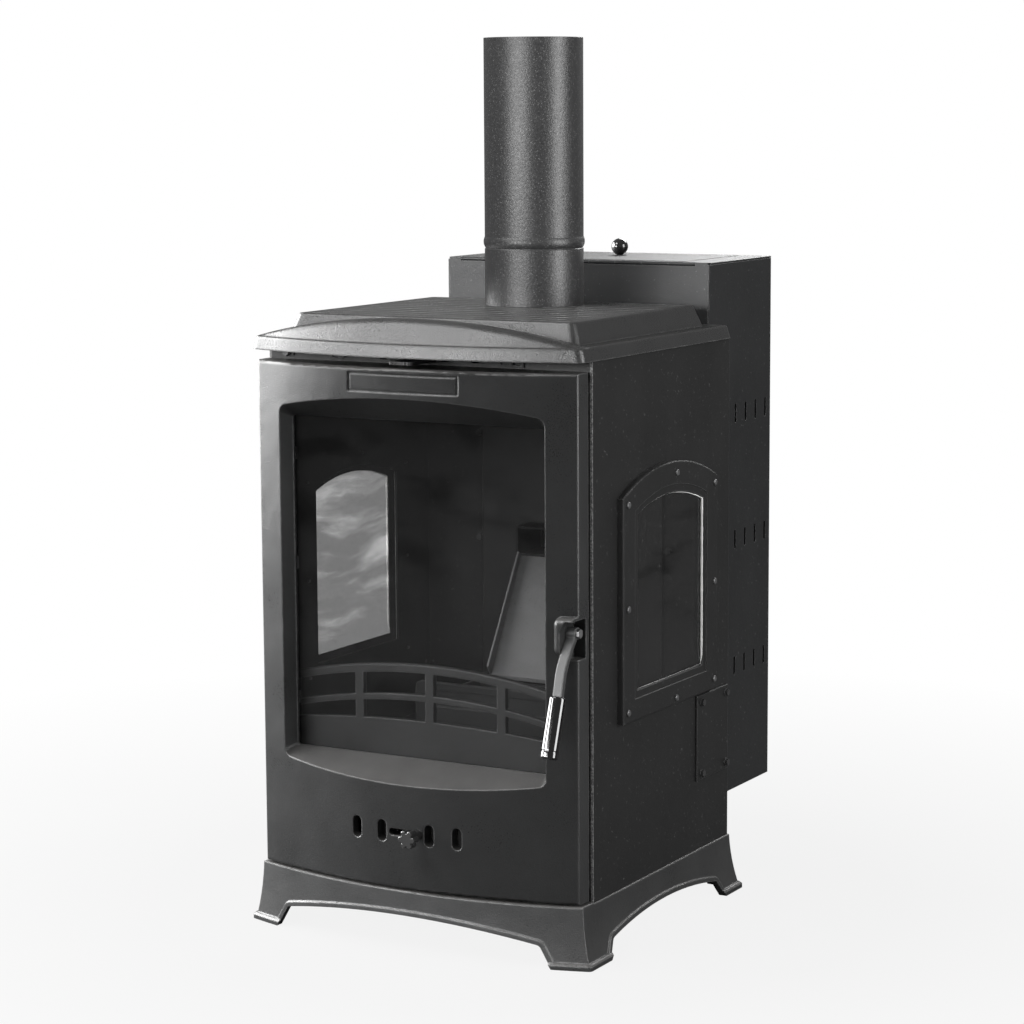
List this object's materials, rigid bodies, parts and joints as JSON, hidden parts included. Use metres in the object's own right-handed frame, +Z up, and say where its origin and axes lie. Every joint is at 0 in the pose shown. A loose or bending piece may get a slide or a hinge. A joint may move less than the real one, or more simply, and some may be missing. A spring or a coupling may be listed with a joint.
{
  "type": "pellet stove",
  "caption": "Free-standing cast pellet stove with bowed glass door, arched side windows, flared plinth, flue pipe and rear pellet hopper.",
  "frame": {"origin": "on the floor, under the middle of the stove's bounding box", "axes": "+Z up, +X to the stove's left hand seen from behind it (the viewer's right, seen from the door), +Y from the door towards the hopper"},
  "size_m": [0.5, 0.6894, 1.135],
  "materials": {
    "grey_casting": "matt grey stove paint on sand-cast iron",
    "black_casting": "matt black stove paint on cast iron",
    "bare_casting": "bare cast iron, dull",
    "grey_sheet": "matt grey stove paint on sheet steel",
    "dark_sheet": "matt black paint on sheet steel",
    "hopper_paint": "fine-textured powder coat",
    "pipe_enamel": "satin black heat paint",
    "bright_sheet": "plain rolled steel sheet",
    "plain_steel": "plain machined steel",
    "polished_steel": "polished steel",
    "black_fastener": "blackened steel",
    "black_plastic": "moulded thermoset, gloss",
    "ceramic_glass": "smoke-tinted ceramic glass",
    "fibre_rope": "woven glass fibre"
  },
  "bodies": {
    "frame": {"plinth": "grey_casting", "body_side_right": "grey_sheet", "body_side_left": "grey_sheet", "body_front_frame": "grey_sheet", "body_back": "grey_sheet", "body_floor": "grey_sheet", "top_plate": "grey_casting", "flue_collar": "black_casting", "flue_pipe": "pipe_enamel", "fire_floor": "black_casting", "rear_liner": "black_casting", "baffle": "black_casting", "baffle_rests": "grey_sheet", "fence": "black_casting", "burner_front": "bare_casting", "burner_basket": "bare_casting", "ash_pan": "dark_sheet", "chute": "bright_sheet", "feed_throat": "bright_sheet", "latch_keeper": "bare_casting", "hinge_leaves": "grey_sheet", "hinge_pins": "plain_steel", "hex_bolts": "black_fastener", "side_frame_right": "grey_casting", "side_frame_left": "grey_casting", "side_glass_right": "ceramic_glass", "side_glass_left": "ceramic_glass", "side_gasket_right": "fibre_rope", "side_gasket_left": "fibre_rope", "window_screws": "black_fastener", "side_cover_right": "grey_sheet", "side_cover_left": "grey_sheet", "hopper_front": "hopper_paint", "hopper_back": "hopper_paint", "hopper_side_right": "hopper_paint", "hopper_side_left": "hopper_paint", "hopper_rim": "hopper_paint", "pellet_bin": "bright_sheet", "hopper_spacers": "plain_steel", "lid_hinge_fixed": "hopper_paint", "lid_hinge_pin": "plain_steel"},
    "door": {"door_casting": "grey_casting", "door_glass": "ceramic_glass", "door_glass_gasket": "fibre_rope", "glass_clips": "plain_steel", "door_screws": "plain_steel", "door_rope": "fibre_rope", "shutter_guides": "dark_sheet"},
    "handle": {"handle_lever": "grey_casting", "handle_grip": "polished_steel", "latch_shaft": "plain_steel", "latch_hook": "plain_steel"},
    "shutter": {"air_shutter": "dark_sheet", "shutter_stud": "plain_steel"},
    "knob": {"clamp_knob": "black_plastic"},
    "top_slider": {"top_air_slider": "grey_sheet"},
    "lid": {"hopper_lid": "hopper_paint", "lid_hinge_moving": "hopper_paint", "lid_knob": "black_plastic", "lid_knob_stud": "plain_steel"}
  },
  "joints": [
    {"name": "door_hinge", "type": "hinge", "parent": "frame", "child": "door", "pos_m": [-0.238, -0.25129, 0.405], "axis": [0, 0, 1], "range_deg": [-115, 0]},
    {"name": "handle_turn", "type": "hinge", "parent": "door", "child": "handle", "pos_m": [0.2202, -0.27129, 0.416], "axis": [1, 0, 0], "range_deg": [-50, 0]},
    {"name": "shutter_slide", "type": "slide", "parent": "door", "child": "shutter", "axis": [1, 0, 0], "range_m": [-0.0381, 0]},
    {"name": "knob_turn", "type": "hinge", "parent": "shutter", "child": "knob", "pos_m": [0.02305, -0.32929, 0.151], "axis": [0, -1, 0], "range_deg": [0, 180]},
    {"name": "top_air_slide", "type": "slide", "parent": "frame", "child": "top_slider", "axis": [1, 0, 0], "range_m": [-0.011, 0.011]},
    {"name": "lid_hinge", "type": "hinge", "parent": "frame", "child": "lid", "pos_m": [0, 0.14941, 0.8387], "axis": [1, 0, 0], "range_deg": [0, 95]}
  ]
}
